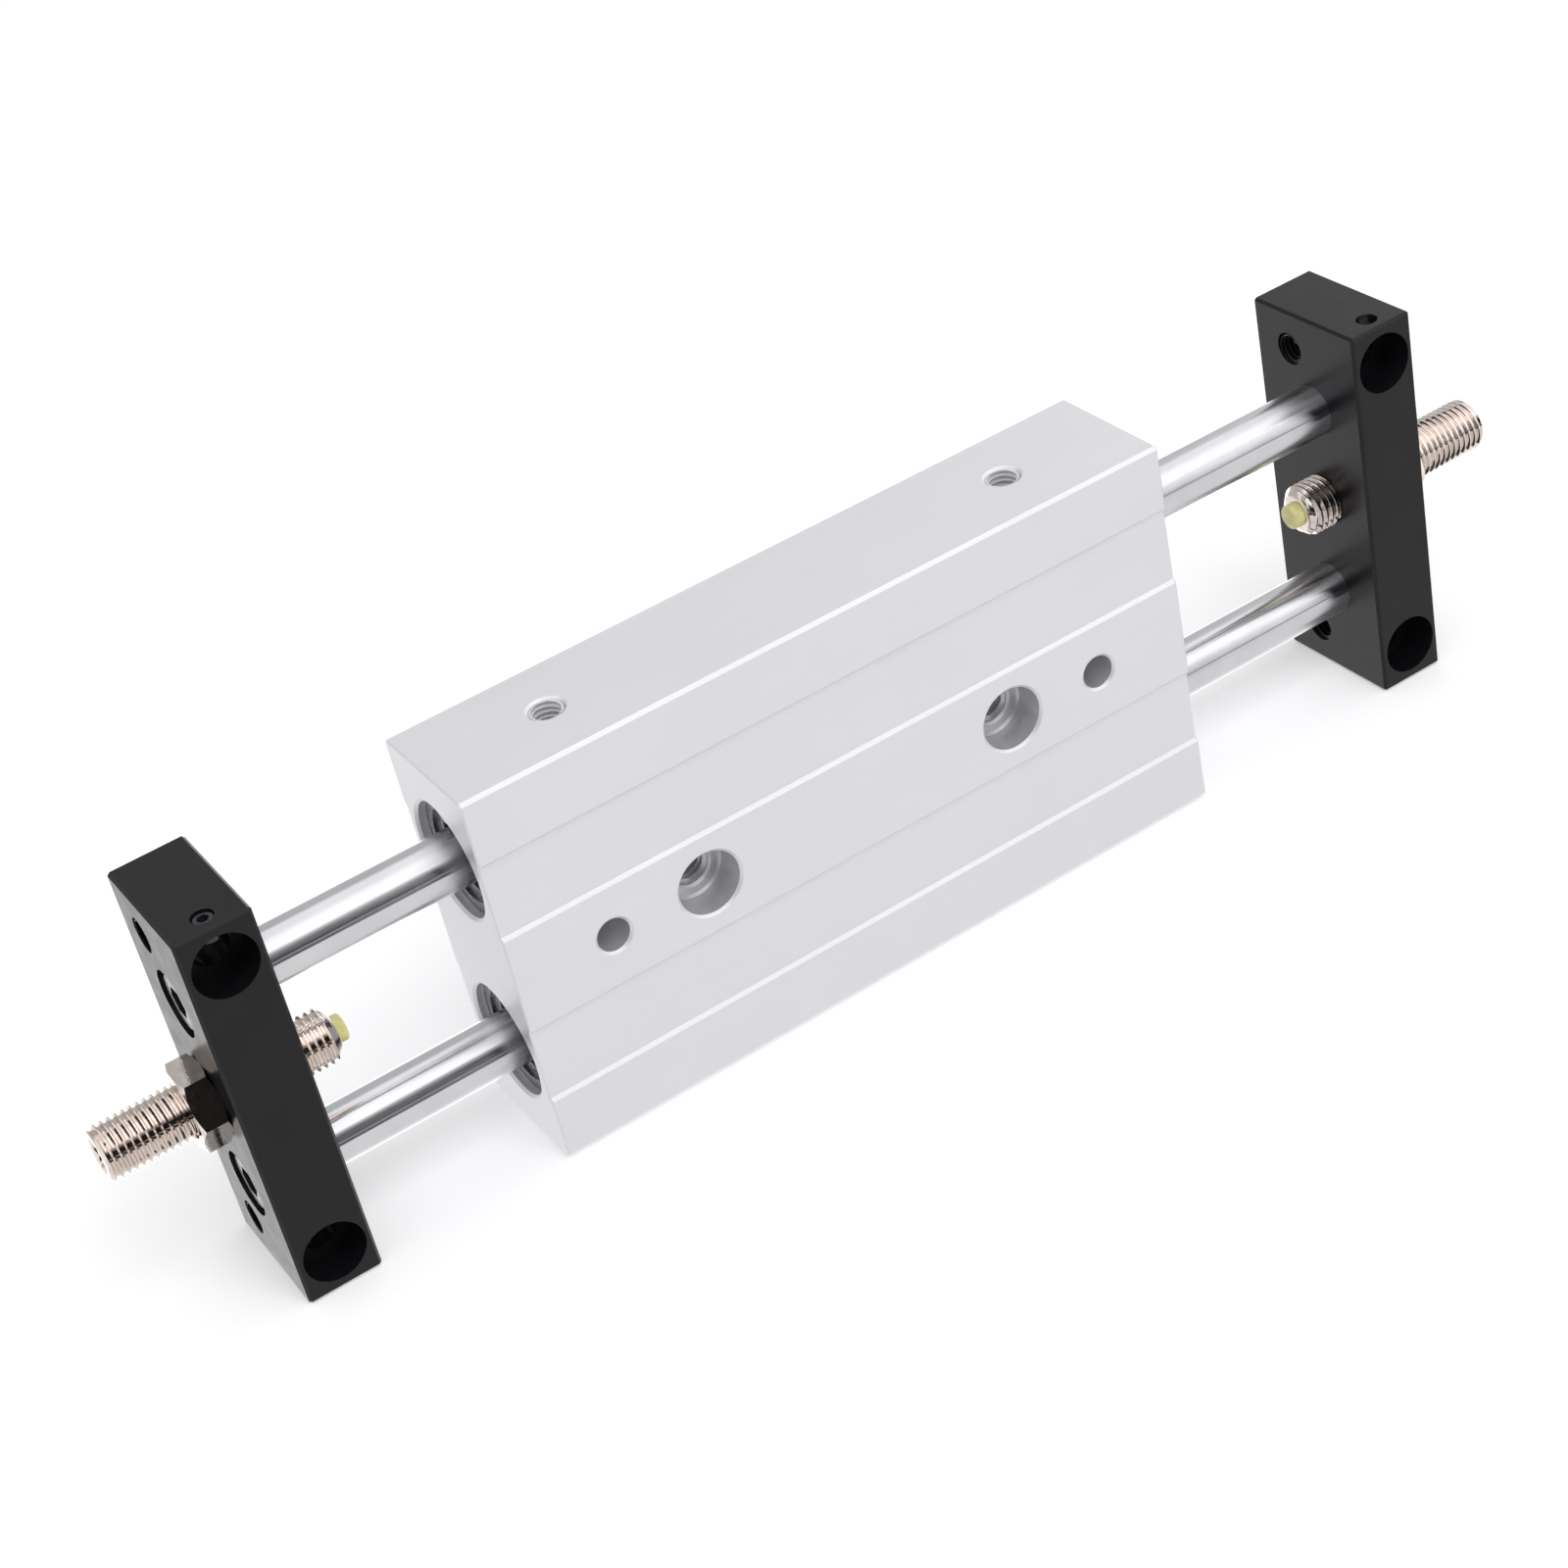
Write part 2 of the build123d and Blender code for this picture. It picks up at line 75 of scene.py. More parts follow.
# Holes, in millimetres
HOLE_CHAMFER = 0.35
SKIN = 0.05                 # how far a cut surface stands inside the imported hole's wall
CUT_STEPS = 96              # spin steps of a plain cut surface
PORT_SPACING = 73.0
PORT_THREAD_START = 0.2
PORT_THREAD_LENGTH = 4.4
MOUNT_SPACING = 50.0
MOUNT_COUNTERBORE_DIAMETER = 9.5
MOUNT_COUNTERBORE_DEPTH = 5.5
COUNTERBORE_CORNER = 0.35   # slope that the cutter leaves where wall and floor meet
MOUNT_THREAD_LENGTH = 10.0
PIN_SPACING = 80.0
PIN_HOLE_DIAMETER = 5.0
PIN_HOLE_DEPTH = 6.0
MOUTH_DIAMETER = 17.0
MOUTH_CHAMFER = 0.4
RING_SETBACK = 1.55
FACE_HOLE_SPACING = 48.0
FACE_HOLE_FROM_FRONT = 14.2
FACE_THREAD_START = 0.1
FACE_THREAD_LENGTH = 2.4

# How a mesh is closed and shaded, in millimetres and degrees
WELD = 0.001                # vertices closer than this become one
CUT_REACH = 0.0001          # how near a vertex counts as on a cutting plane
END_REACH = 0.01            # how near an open edge's ends count as on an end plane
THREAD_SHARP = 50.0         # a thread's edges that turn more than this stay sharp
CUT_SHARP = 35.0            # and a plain cut surface's

# Noise in the finishes: its detail, and the values that become the low and high end
NOISE_DETAIL = 3.0
NOISE_LOW = 0.3
NOISE_HIGH = 0.7

# Camera, found from the photograph's edges: degrees, and a place in millimetres
CAMERA_AZIMUTH = -25.11
CAMERA_ELEVATION = 34.31
CAMERA_ROLL = -13.38
CAMERA_PLACE = (-157.65, -314.55, 267.60)
CAMERA_LENS = 70.51
SENSOR_WIDTH = 36.0
NEAREST_SEEN = 0.01         # metres
FARTHEST_SEEN = 20.0

# Lamp and floor, in metres
LAMP_PLACE = (0.0, -0.46, 0.77)
LAMP_AIM = (0.0, 0.0, 0.03)
LAMP_SIZE = 0.42
LAMP_POWER = 2.25           # watts
FLOOR_SIZE = 1.5
FLOOR_DROP = 0.05 * MM      # keeps the floor clear of the plates' feet

# What reflections show, besides white: how bright each part of the surroundings is, and the
# (direction, from, to) limits between which it fades in, on the share of a view along each direction
RIGHT = (1, 0, 0)
BACK = (0, 1, 0)
UP = (0, 0, 1)
SURROUNDINGS = [
    ("far wall", 0.53, [(UP, 0.82, 0.68), (UP, -0.3, 0.0), (BACK, 0.4, 0.6), (RIGHT, 0.6, 0.5)]),
    ("table in front", 0.78, [(UP, -0.15, -0.23), (BACK, 0.2, -0.1)]),
    ("table behind", 1.65, [(UP, 0.0, -0.3), (BACK, 0.3, 0.6), (RIGHT, -0.27, -0.17)]),
    ("lit ceiling", 1.35, [((0.34, -0.54, 0.77), 0.7, 0.97)]),
    ("dim room", 0.32, [(UP, -0.2, -0.14), (UP, 0.72, 0.55), (BACK, -0.3, -0.6), (RIGHT, 0.45, 0.33)]),
    ("dark opening", 0.01, [(UP, -0.22, -0.15), (UP, 0.55, 0.42), (BACK, -0.3, -0.6), (RIGHT, 0.42, 0.3)]),
    ("horizon", 0.32, [(UP, -0.03, 0.01), (UP, 0.1, 0.05), (BACK, -0.3, -0.6)]),
]
TENT_FRONT = 1.0            # light from the surroundings' front, and from their back
TENT_BACK = 0.65
FLOOR_GLOW = 0.3


def hex_colour(code):
    """The linear colour of an sRGB hex value."""
    channels = [int(code[i:i + 2], 16) / 255 for i in (1, 3, 5)]
    linear = [c / 12.92 if c <= 0.04045 else ((c + 0.055) / 1.055) ** 2.4 for c in channels]
    return (*linear, 1.0)


def add_node(tree, kind, inputs=None, **settings):
    """Add a node, set its properties, and give its inputs a value, a node or an output."""
    node = tree.nodes.new(kind)
    for name, value in settings.items():
        setattr(node, name, value)
    in_use = {socket.name: socket for socket in reversed(node.inputs) if socket.enabled}
    for name, value in (inputs or {}).items():
        socket = node.inputs[name] if isinstance(name, int) else in_use[name]
        if isinstance(value, bpy.types.Node):
            value = next(output for output in value.outputs if output.enabled)
        if isinstance(value, bpy.types.NodeSocket):
            tree.links.new(value, socket)
        else:
            socket.default_value = value
    return node


def streaks(tree, place, lengths_mm, low, high):
    """Uneven marks as long along X, Y and Z as stated, as a value from low to high."""
    stretch = add_node(
        tree, "ShaderNodeMapping",
        {"Vector": place, "Scale": [1 / (length * MM) for length in lengths_mm]},
    )
    noise = add_node(tree, "ShaderNodeTexNoise", {"Vector": stretch, "Scale": 1.0, "Detail": NOISE_DETAIL})
    return add_node(
        tree, "ShaderNodeMapRange",
        {"Value": noise, "From Min": NOISE_LOW, "From Max": NOISE_HIGH, "To Min": low, "To Max": high},
    )


def patches(tree, place, size_mm, low, high):
    """Soft patches of one size, as a value from low to high."""
    return streaks(tree, place, (size_mm, size_mm, size_mm), low, high)


def start_finish(name, patch_mm, first, second):
    """A new material, its tree, the place on the piece, and a colour that drifts between two."""
    finish = bpy.data.materials.new(name)
    finish.use_nodes = True
    tree = finish.node_tree
    tree.nodes.clear()
    place = add_node(tree, "ShaderNodeTexCoord").outputs["Object"]
    colour = add_node(tree, "ShaderNodeMix", {
        "Factor": patches(tree, place, patch_mm, 0.0, 1.0),
        "A": hex_colour(first),
        "B": hex_colour(second),
    }, data_type="RGBA")
    return finish, tree, place, colour


def close_finish(tree, height, depth_mm, sockets):
    """Lay bumps of a real depth under a shader with the stated sockets."""
    relief = add_node(
        tree, "ShaderNodeBump", {"Height": height, "Strength": 1.0, "Distance": depth_mm * MM}
    )
    shader = add_node(tree, "ShaderNodeBsdfPrincipled", {"Normal": relief, **sockets})
    add_node(tree, "ShaderNodeOutputMaterial", {"Surface": shader})


def silver_anodised_aluminium():
    """Drawn, etched and clear-anodised: a pale satin grey with the faintest lines along the bar."""
    finish, tree, place, colour = start_finish("silver_anodised_aluminium", 14.0, "#EAE9ED", "#E8E7EB")
    grain = patches(tree, place, 0.35, 0.0, 1.0)  # etch grain, drawn coarser than it is so that it shows
    close_finish(tree, grain, 0.004, {
        "Base Color": colour,
        "Metallic": 0.5,
        "Roughness": streaks(tree, place, (30.0, 0.5, 0.5), 0.36, 0.46),  # drawing lines
    })
    return finish


def black_anodised_aluminium():
    """Milled, blasted and dyed black: near black face on, grey where light grazes it."""
    finish, tree, place, colour = start_finish("black_anodised_aluminium", 9.0, "#0E0E11", "#131216")
    grain = patches(tree, place, 0.3, 0.0, 1.0)  # blast grain, drawn coarser than it is so that it shows
    close_finish(tree, grain, 0.0015, {
        "Base Color": colour,
        "IOR": 1.38,
        "Roughness": patches(tree, place, 3.0, 0.28, 0.34),
    })
    return finish


def hard_chrome():
    """Ground and polished chrome plate: a mirror that fine marks round the rod smear along it."""
    finish, tree, place, colour = start_finish("hard_chrome", 5.0, "#EAEAED", "#E3E3E7")
    grinding = streaks(tree, place, (0.25, 6.0, 6.0), 0.0, 1.0)  # grinding marks, drawn coarse to show
    close_finish(tree, grinding, 0.0004, {
        "Base Color": colour,
        "Metallic": 1.0,
        "Roughness": streaks(tree, place, (18.0, 0.8, 0.8), 0.15, 0.21),
        "Anisotropic": 1.0,
        "Tangent": add_node(tree, "ShaderNodeCombineXYZ", {"X": 1.0}),  # the rods run along X
    })
    return finish


def nickel_plated_steel():
    """Bright nickel over rolled steel: a warm mirror with faintly duller patches."""
    finish, tree, place, colour = start_finish("nickel_plated_steel", 1.6, "#F2E8E2", "#E0D4CC")
    close_finish(tree, patches(tree, place, 0.4, 0.0, 1.0), 0.004, {
        "Base Color": colour,
        "Metallic": 1.0,
        "Roughness": patches(tree, place, 0.9, 0.05, 0.11),
    })
    return finish


def polyurethane():
    """Cast polyurethane: pale greenish yellow, waxy and a little translucent."""
    finish, tree, place, colour = start_finish("polyurethane", 1.5, "#DEDBA6", "#CBC77E")
    close_finish(tree, patches(tree, place, 0.5, 0.0, 1.0), 0.01, {
        "Base Color": colour,
        "Subsurface Weight": 0.35,
        "Subsurface Scale": 1.5 * MM,
        "Roughness": patches(tree, place, 0.6, 0.4, 0.52),
    })
    return finish


def black_oxide_steel():
    """Oiled black oxide on a cold-headed screw: dark, with a soft steel sheen."""
    finish, tree, place, colour = start_finish("black_oxide_steel", 0.8, "#1C1C1F", "#26262B")
    close_finish(tree, patches(tree, place, 0.3, 0.0, 1.0), 0.004, {
        "Base Color": colour,
        "IOR": 1.6,
        "Roughness": patches(tree, place, 0.5, 0.15, 0.22),
    })
    return finish


def natural_aluminium():
    """Turned aluminium left uncoated: soft grey with turning rings; its grey, set darker than the
    housing's, is also painted shade where it lines the housing's holes and bore mouths.
    """
    finish, tree, place, colour = start_finish("natural_aluminium", 2.0, "#D3D2D5", "#DCDBDE")
    rings = streaks(tree, place, (0.12, 9.0, 9.0), 0.0, 1.0)  # tool feed
    close_finish(tree, rings, 0.002, {
        "Base Color": colour,
        "Metallic": 0.65,
        "Roughness": patches(tree, place, 1.0, 0.3, 0.42),
    })
    return finish


def spring_steel():
    """Stamped spring steel with a light oil film: mid grey and half bright."""
    finish, tree, place, colour = start_finish("spring_steel", 1.2, "#A8A8AB", "#8B8B8F")
    close_finish(tree, patches(tree, place, 0.35, 0.0, 1.0), 0.004, {
        "Base Color": colour,
        "Metallic": 1.0,
        "Roughness": patches(tree, place, 0.6, 0.2, 0.34),
    })
    return finish


def bearing_bronze():
    """Turned tin bronze: warm brown gold with feed rings."""
    finish, tree, place, colour = start_finish("bearing_bronze", 1.5, "#B98F56", "#9C7440")
    rings = streaks(tree, place, (0.12, 9.0, 9.0), 0.0, 1.0)
    close_finish(tree, rings, 0.002, {
        "Base Color": colour,
        "Metallic": 1.0,
        "Roughness": patches(tree, place, 0.8, 0.28, 0.4),
    })
    return finish


def nitrile_rubber():
    """Moulded nitrile: dull black with a greasy bloom."""
    finish, tree, place, colour = start_finish("nitrile_rubber", 1.2, "#1C1C1D", "#28282A")
    close_finish(tree, patches(tree, place, 0.25, 0.0, 1.0), 0.004, {
        "Base Color": colour,
        "Roughness": patches(tree, place, 0.7, 0.5, 0.68),
    })
    return finish


def filled_ptfe():
    """Bronze-filled PTFE strip: waxy dark brown."""
    finish, tree, place, colour = start_finish("filled_ptfe", 0.4, "#4A3B2C", "#5E4C38")
    close_finish(tree, patches(tree, place, 0.3, 0.0, 1.0), 0.003, {
        "Base Color": colour,
        "IOR": 1.38,
        "Roughness": patches(tree, place, 0.8, 0.42, 0.55),
    })
    return finish


def sintered_magnet():
    """Sintered ferrite: grainy charcoal grey."""
    finish, tree, place, colour = start_finish("sintered_magnet", 0.5, "#2F2F32", "#414145")
    close_finish(tree, patches(tree, place, 0.2, 0.0, 1.0), 0.01, {
        "Base Color": colour,
        "Metallic": 0.3,
        "Roughness": patches(tree, place, 0.6, 0.45, 0.6),
    })
    return finish


FINISHES = {
    "silver_anodised_aluminium": silver_anodised_aluminium(),
    "black_anodised_aluminium": black_anodised_aluminium(),
    "natural_aluminium": natural_aluminium(),
    "hard_chrome": hard_chrome(),
    "nickel_plated_steel": nickel_plated_steel(),
    "black_oxide_steel": black_oxide_steel(),
    "spring_steel": spring_steel(),
    "bronze": bearing_bronze(),
    "nitrile_rubber": nitrile_rubber(),
    "polyurethane": polyurethane(),
    "filled_ptfe": filled_ptfe(),
    "magnet": sintered_magnet(),
}


def finish_cad_nodes():
    """Give every carried-over node the finish of its slot in the record."""
    for part in frame["record"]["subparts"]:
        for slot in frame["nodes"][part["node"]].material_slots:
            slot.material = FINISHES[part["material_slot"]]


def make_piece(name, mesh, slot, body, sharp):
    """Close a bmesh into a piece that rides on a body and takes its finish from a slot."""
    bmesh.ops.remove_doubles(mesh, verts=mesh.verts, dist=WELD * MM)
    bmesh.ops.recalc_face_normals(mesh, faces=mesh.faces)
    for face in mesh.faces:
        face.smooth = True
    for edge in mesh.edges:
        edge.smooth = edge.calc_face_angle(0.0) < radians(sharp)
    data = bpy.data.meshes.new(name)
    mesh.to_mesh(data)
    mesh.free()
    data.materials.append(FINISHES[slot])
    piece = bpy.data.objects.new(name, data)
    bpy.context.scene.collection.objects.link(piece)
    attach(piece, body)
    return piece


def chain(mesh, points, closed=False):
    """Vertices at (x, radius) points in the XY plane, joined by edges."""
    verts = [mesh.verts.new((x, radius, 0)) for x, radius in points]
    ends = verts[1:] + verts[:1] if closed else verts[1:]
    edges = [mesh.edges.new(pair) for pair in zip(verts, ends)]
    return verts + edges


def wind_thread(mesh, root, crest, pitch, length):
    """Wind a right-hand thread between two radii round the X axis, cut square at 0 and length."""
    half_crest = CREST_FLAT / 2
    half_root = ROOT_FLAT / 2
    profile = [
        (-half_crest, crest), (half_crest, crest),
        (0.5 - half_root, root), (0.5 + half_root, root), (1 - half_crest, crest),
    ]
    turns = ceil(length / pitch) + 2
    bmesh.ops.spin(
        mesh, geom=chain(mesh, [((x - 1) * pitch, radius) for x, radius in profile]),
        cent=(0, 0, 0), axis=(1, 0, 0), dvec=(pitch / THREAD_STEPS, 0, 0),
        angle=2 * pi * turns, steps=THREAD_STEPS * turns, use_merge=False, use_duplicate=False,
    )
    bmesh.ops.remove_doubles(mesh, verts=mesh.verts, dist=WELD * MM)
    for x, outward in ((0, -1), (length, 1)):
        bmesh.ops.bisect_plane(
            mesh, geom=mesh.verts[:] + mesh.edges[:] + mesh.faces[:], dist=CUT_REACH * MM,
            plane_co=(x, 0, 0), plane_no=(outward, 0, 0), clear_outer=True,
        )


def ring(mesh, radius, x, hexagonal=False):
    """A loop of edges round the X axis: a circle, or a hexagon with its corners on that circle."""
    turn = Matrix.Translation((x, 0, 0)) @ Matrix.Rotation(pi / 2, 4, "Y")
    made = bmesh.ops.create_circle(
        mesh, cap_ends=False, segments=THREAD_STEPS, radius=radius, matrix=turn
    )["verts"]
    if hexagonal:
        for vert in made:
            past_flat = atan2(vert.co.z, vert.co.y) % (pi / 3) - pi / 6
            vert.co.yz = vert.co.yz * (cos(pi / 6) / cos(past_flat))
    return list(dict.fromkeys(edge for vert in made for edge in vert.link_edges))


def open_edges(mesh, x):
    """The open edges of a mesh that lie in the plane at x."""
    return [
        edge for edge in mesh.edges
        if edge.is_boundary and all(abs(vert.co.x - x) < END_REACH * MM for vert in edge.verts)
    ]


def pocket(mesh, rim, loops):
    """Close a rim with a flat end round a pocket of (radius, x, hexagonal) loops, and give it a floor."""
    edges = ring(mesh, *loops[0])
    bmesh.ops.triangle_fill(mesh, use_beauty=True, use_dissolve=False, edges=rim + edges)
    for loop in loops[1:]:
        inner = ring(mesh, *loop)
        bmesh.ops.bridge_loops(mesh, edges=edges + inner)
        edges = inner
    bmesh.ops.contextual_create(mesh, geom=edges)


def threaded_stop(end, side):
    """Stop screw with its real thread, chamfered ends, pad pocket and hex socket."""
    node = f"{end}_stop_screw"
    low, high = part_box(node)
    length = high.x - low.x
    diameter, pitch = (size * MM for size in STOP_THREAD)
    crest = diameter / 2
    root = crest - OUTER_THREAD_DEPTH * pitch
    mesh = bmesh.new()
    wind_thread(mesh, root, crest, pitch, length)
    for vert in mesh.verts:
        limit = min(PAD_END_RADIUS * MM + vert.co.x, SOCKET_END_RADIUS * MM + length - vert.co.x)
        radius = hypot(vert.co.y, vert.co.z)
        if radius > limit:
            vert.co.yz = vert.co.yz * (limit / radius)
    pad_radius = PAD_POCKET_DIAMETER / 2 * MM
    pocket(mesh, open_edges(mesh, 0), [
        (pad_radius, 0),
        (pad_radius, PAD_POCKET_DEPTH * MM),
    ])
    socket_radius = SOCKET_FLATS / 3 ** 0.5 * MM
    pocket(mesh, open_edges(mesh, length), [
        (SOCKET_MOUTH_DIAMETER / 2 * MM, length),
        (socket_radius, length - SOCKET_LEAD * MM, True),
        (socket_radius, length - SOCKET_DEPTH * MM, True),
    ])
    if side < 0:
        bmesh.ops.rotate(mesh, verts=mesh.verts, cent=(0, 0, 0), matrix=Matrix.Rotation(pi, 3, "Z"))
    tip = high.x if side < 0 else low.x
    bmesh.ops.translate(mesh, verts=mesh.verts, vec=(tip, (low.y + high.y) / 2, (low.z + high.z) / 2))
    piece = make_piece(f"{end}_threaded_stop", mesh, "nickel_plated_steel", f"{node}_body", THREAD_SHARP)
    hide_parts(node)


def set_in_hole(mesh, mouth, inward):
    """Turn a piece made along +X into a hole's direction and move it to the hole's mouth."""
    turn = Vector((1, 0, 0)).rotation_difference(inward).to_matrix()
    bmesh.ops.rotate(mesh, verts=mesh.verts, cent=(0, 0, 0), matrix=turn)
    bmesh.ops.translate(mesh, verts=mesh.verts, vec=mouth)


def tapped_wall(name, mouth, inward, thread, length_mm, slot, body):
    """The thread that a tap leaves on the wall of a hole, as a thin sleeve."""
    diameter, pitch = (size * MM for size in thread)
    length = length_mm * MM
    root = diameter / 2 - SKIN * MM
    mesh = bmesh.new()
    wind_thread(mesh, root, root - INNER_THREAD_DEPTH * pitch, pitch, length)
    bmesh.ops.recalc_face_normals(mesh, faces=mesh.faces)
    bmesh.ops.solidify(mesh, geom=mesh.faces[:], thickness=SKIN * MM)
    set_in_hole(mesh, mouth, inward)
    make_piece(name, mesh, slot, body, THREAD_SHARP)


def cut_wall_with_painted_shade(name, mouth, inward, outline_mm):
    """The bare surface that a cutter leaves in the housing, from (depth, radius) points, in natural
    aluminium darker than the anodising: partly the bare metal's own tone, partly painted shade in the
    holes and bore mouths.
    """
    front = [(depth * MM, max(radius - SKIN, 0) * MM) for depth, radius in outline_mm]
    back = [(depth + SKIN * MM, radius + 2 * SKIN * MM) for depth, radius in reversed(front)]
    mesh = bmesh.new()
    bmesh.ops.spin(
        mesh, geom=chain(mesh, front + back, closed=True), cent=(0, 0, 0), axis=(1, 0, 0),
        angle=2 * pi, steps=CUT_STEPS, use_merge=True, use_duplicate=False,
    )
    set_in_hole(mesh, mouth, inward)
    # Natural aluminium liner: the bare metal's tone, and painted shade that darkens the holes and bore
    # mouths
    make_piece(name, mesh, "natural_aluminium", "housing_body", CUT_SHARP)


def housing_holes():
    """Anodised threads in the air ports, and bare cut metal in the other holes and the bore mouths, its
    darker grey partly painted shade.
    """
    low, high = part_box("housing")
    middle = (low + high) / 2
    counterbore_floor = MOUNT_COUNTERBORE_DEPTH - SKIN
    pin_floor = PIN_HOLE_DEPTH - SKIN
    for end, side in (("left", -1), ("right", 1)):
        port = Vector((middle.x + side * PORT_SPACING / 2 * MM, middle.y, high.z - PORT_THREAD_START * MM))
        tapped_wall(
            f"{end}_port_thread", port, Vector((0, 0, -1)), PORT_THREAD, PORT_THREAD_LENGTH,
            "silver_anodised_aluminium", "housing_body",
        )
        inward = Vector((0, 1, 0))
        mount = Vector((middle.x + side * MOUNT_SPACING / 2 * MM, low.y, middle.z))
        thread_start = MOUNT_COUNTERBORE_DEPTH + HOLE_CHAMFER
        # The mount thread's natural aluminium darkens the hole: partly bare tapped metal, partly painted
        # shade
        tapped_wall(
            f"{end}_mount_thread", mount + inward * thread_start * MM, inward, MOUNT_THREAD,
            MOUNT_THREAD_LENGTH, "natural_aluminium", "housing_body",
        )
        cut_wall_with_painted_shade(f"{end}_mount_counterbore", mount, inward, [
            (HOLE_CHAMFER, MOUNT_COUNTERBORE_DIAMETER / 2),
            (counterbore_floor - COUNTERBORE_CORNER, MOUNT_COUNTERBORE_DIAMETER / 2),
            (counterbore_floor, MOUNT_COUNTERBORE_DIAMETER / 2 - COUNTERBORE_CORNER),
            (counterbore_floor, MOUNT_THREAD[0] / 2 + HOLE_CHAMFER),
        ])
        pin = Vector((middle.x + side * PIN_SPACING / 2 * MM, low.y, middle.z))
        cut_wall_with_painted_shade(f"{end}_pin_bore", pin, inward, [
            (HOLE_CHAMFER, PIN_HOLE_DIAMETER / 2), (pin_floor, PIN_HOLE_DIAMETER / 2), (pin_floor, 0),
        ])
        for row in ("upper", "lower"):
            rod_low, rod_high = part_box(f"{row}_rod")
            axis = (rod_low + rod_high) / 2
            end_x = low.x if side < 0 else high.x
            cut_wall_with_painted_shade(f"{row}_{end}_bore_mouth", Vector((end_x, axis.y, axis.z)), Vector((-side, 0, 0)), [
                (MOUTH_CHAMFER, MOUTH_DIAMETER / 2), (RING_SETBACK, MOUTH_DIAMETER / 2),
            ])


def plate_holes():
    """Threads at both mouths of the end plates' face holes."""
    for end in ("left", "right"):
        low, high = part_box(f"{end}_end_plate")
        y = low.y + FACE_HOLE_FROM_FRONT * MM
        for row, rise in (("upper", 1), ("lower", -1)):
            z = (low.z + high.z) / 2 + rise * FACE_HOLE_SPACING / 2 * MM
            for facing, x, inward in (("left", low.x, 1), ("right", high.x, -1)):
                tapped_wall(
                    f"{end}_plate_{row}_{facing}_thread",
                    Vector((x + inward * FACE_THREAD_START * MM, y, z)), Vector((inward, 0, 0)),
                    FACE_THREAD, FACE_THREAD_LENGTH, "black_anodised_aluminium", "frame",
                )


def studio():
    """A white tent whose grey and dark parts show only in reflections."""
    world = bpy.data.worlds.new("studio")
    bpy.context.scene.world = world
    world.use_nodes = True
    tree = world.node_tree
    tree.nodes.clear()
    way = add_node(tree, "ShaderNodeTexCoord").outputs["Generated"]
    mirrored = 1.0
    for name, brightness, limits in SURROUNDINGS:
        share = 1.0
        for toward, start, stop in limits:
            along = add_node(tree, "ShaderNodeVectorMath", {0: way, 1: toward}, operation="DOT_PRODUCT")
            inside = add_node(
                tree, "ShaderNodeMapRange", {"Value": along, "From Min": start, "From Max": stop},
                interpolation_type="SMOOTHSTEP",
            )
            share = add_node(tree, "ShaderNodeMath", {0: share, 1: inside}, operation="MULTIPLY")
        mirrored = add_node(
            tree, "ShaderNodeMix", {"Factor": share, "A": mirrored, "B": brightness}, label=name
        )
    depth = add_node(tree, "ShaderNodeVectorMath", {0: way, 1: BACK}, operation="DOT_PRODUCT")
    tent = add_node(
        tree, "ShaderNodeMapRange",
        {"Value": depth, "From Min": -1.0, "To Min": TENT_FRONT, "To Max": TENT_BACK},
    )
    rays = add_node(tree, "ShaderNodeLightPath").outputs
    seen = add_node(
        tree, "ShaderNodeMath", {0: rays["Is Camera Ray"], 1: rays["Is Transmission Ray"]},
        operation="MAXIMUM",
    )
    strength = add_node(tree, "ShaderNodeMix", {"Factor": rays["Is Glossy Ray"], "A": tent, "B": mirrored})
    strength = add_node(tree, "ShaderNodeMix", {"Factor": seen, "A": strength, "B": 1.0})
    white = add_node(tree, "ShaderNodeBackground", {"Color": hex_colour("#FFFFFF"), "Strength": strength})
    add_node(tree, "ShaderNodeOutputWorld", {"Surface": white})


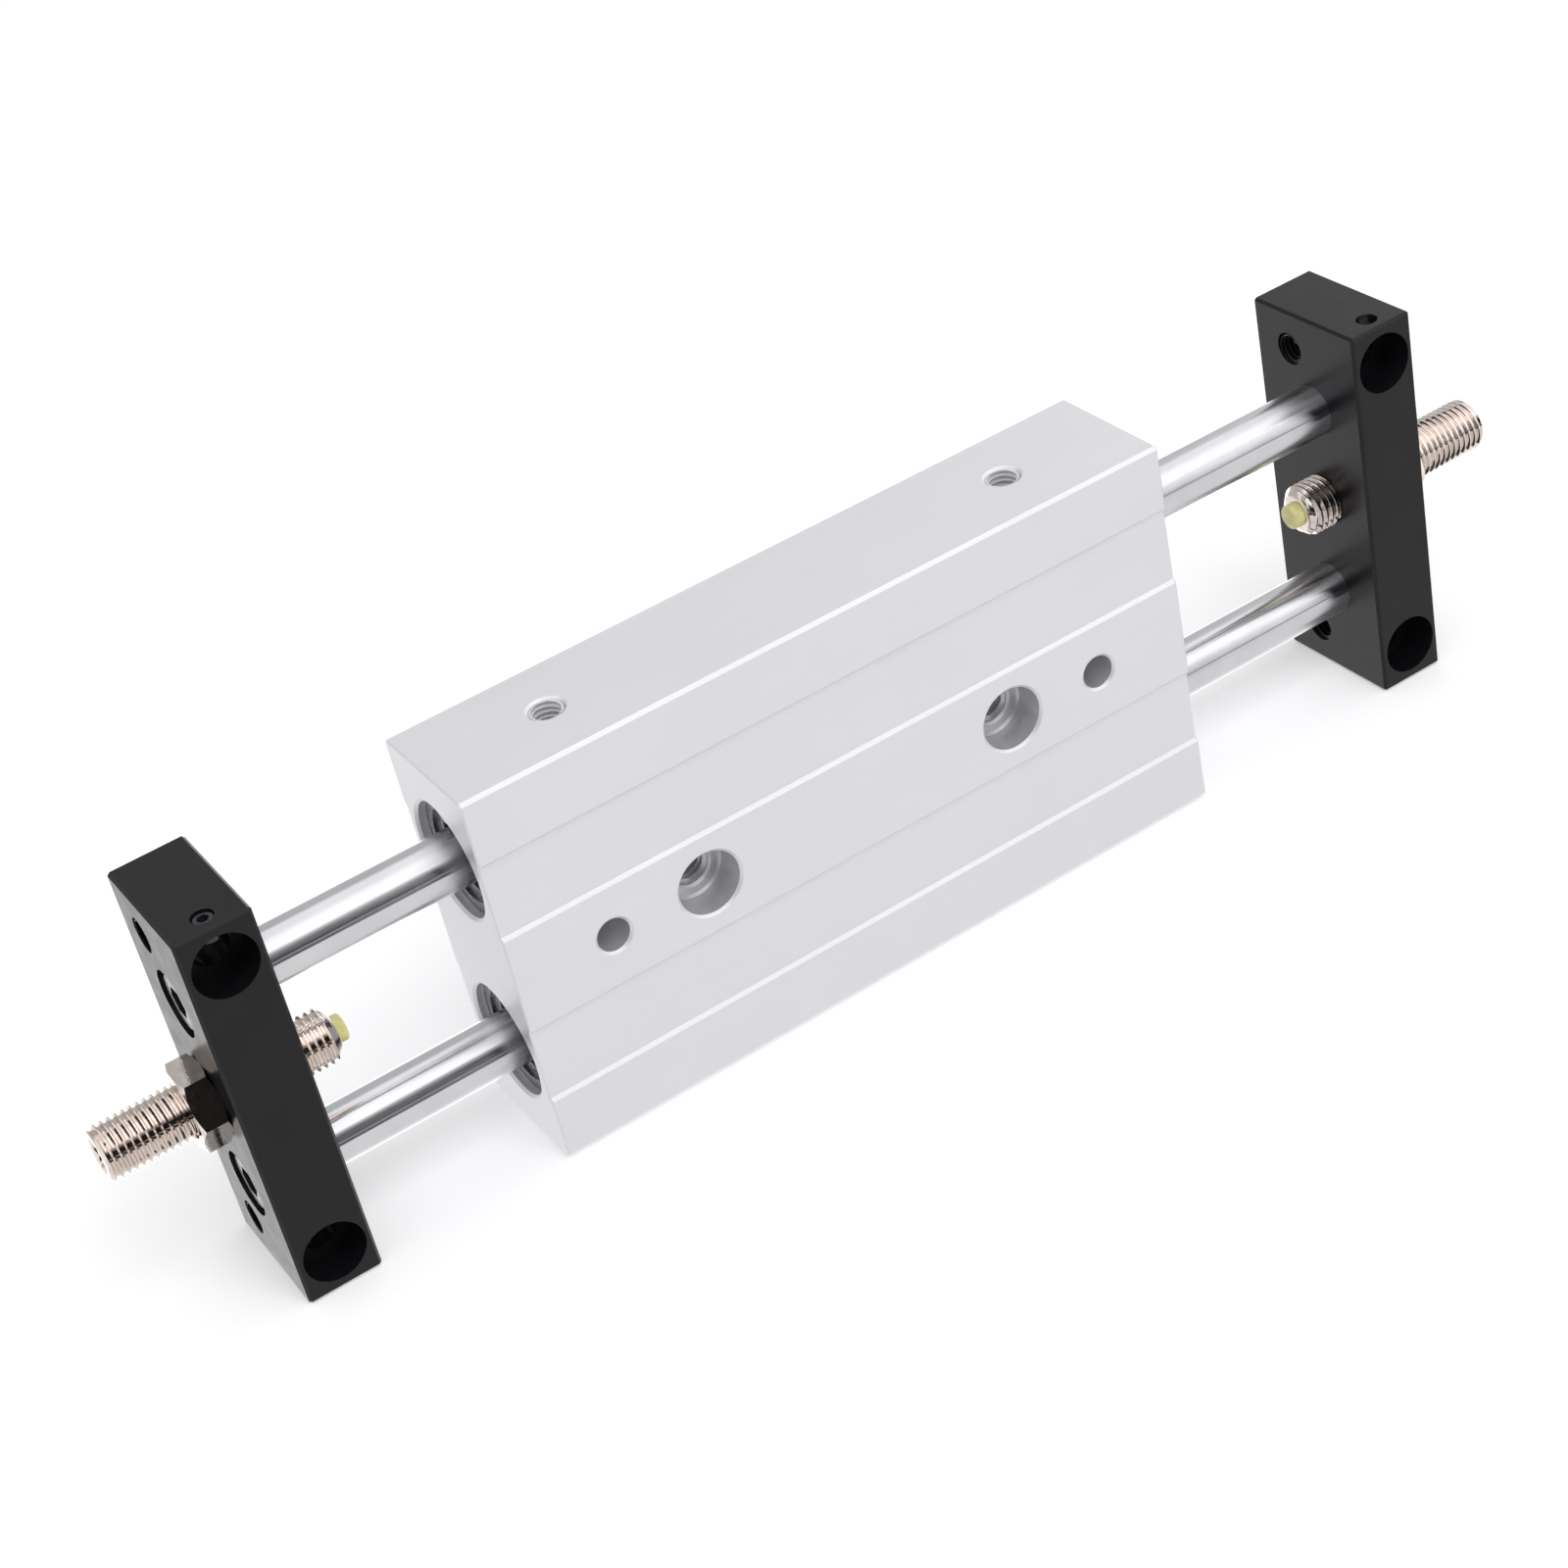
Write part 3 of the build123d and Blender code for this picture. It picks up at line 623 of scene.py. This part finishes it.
def floor():
    """A pale floor that shows as white and keeps the shadow."""
    mesh = bmesh.new()
    bmesh.ops.create_grid(mesh, x_segments=1, y_segments=1, size=FLOOR_SIZE)
    data = bpy.data.meshes.new("floor")
    mesh.to_mesh(data)
    mesh.free()
    sheet = bpy.data.objects.new("floor", data)
    bpy.context.scene.collection.objects.link(sheet)
    sheet.location.z = -FLOOR_DROP
    finish = bpy.data.materials.new("pale_floor")
    finish.use_nodes = True
    tree = finish.node_tree
    tree.nodes.clear()
    rays = add_node(tree, "ShaderNodeLightPath").outputs
    seen = rays["Is Camera Ray"]
    for kind in ("Is Glossy Ray", "Is Transmission Ray"):
        seen = add_node(tree, "ShaderNodeMath", {0: seen, 1: rays[kind]}, operation="MAXIMUM")
    strength = add_node(tree, "ShaderNodeMath", {0: seen, 1: FLOOR_GLOW}, operation="MULTIPLY")
    glow = add_node(tree, "ShaderNodeEmission", {"Color": hex_colour("#FFFFFF"), "Strength": strength})
    paint = add_node(tree, "ShaderNodeBsdfDiffuse", {"Color": hex_colour("#E6E6E8")})
    both = add_node(tree, "ShaderNodeAddShader", {0: paint, 1: glow})
    add_node(tree, "ShaderNodeOutputMaterial", {"Surface": both})
    data.materials.append(finish)
    sheet.visible_glossy = False


def softbox():
    """One large soft lamp above and in front of the object."""
    lamp = bpy.data.lights.new("softbox", "AREA")
    lamp.shape = "SQUARE"
    lamp.size = LAMP_SIZE
    lamp.energy = LAMP_POWER
    stand = bpy.data.objects.new("softbox", lamp)
    stand.location = LAMP_PLACE
    stand.rotation_euler = (Vector(LAMP_AIM) - stand.location).to_track_quat("-Z", "Y").to_euler()
    stand.visible_glossy = False
    bpy.context.scene.collection.objects.link(stand)


def camera():
    """The photograph's viewpoint."""
    lens = bpy.data.cameras.new("camera")
    lens.lens = CAMERA_LENS
    lens.sensor_width = SENSOR_WIDTH
    lens.clip_start = NEAREST_SEEN
    lens.clip_end = FARTHEST_SEEN
    seat = bpy.data.objects.new("camera", lens)
    seat.matrix_world = (
        Matrix.Translation([place * MM for place in CAMERA_PLACE])
        @ Matrix.Rotation(radians(CAMERA_AZIMUTH), 4, "Z")
        @ Matrix.Rotation(radians(90 - CAMERA_ELEVATION), 4, "X")
        @ Matrix.Rotation(radians(CAMERA_ROLL), 4, "Z")
    )
    bpy.context.scene.collection.objects.link(seat)
    bpy.context.scene.camera = seat


finish_cad_nodes()
threaded_stop("left", -1)
threaded_stop("right", 1)
housing_holes()
plate_holes()
studio()
floor()
softbox()
camera()
bpy.context.scene.view_settings.view_transform = "Standard"
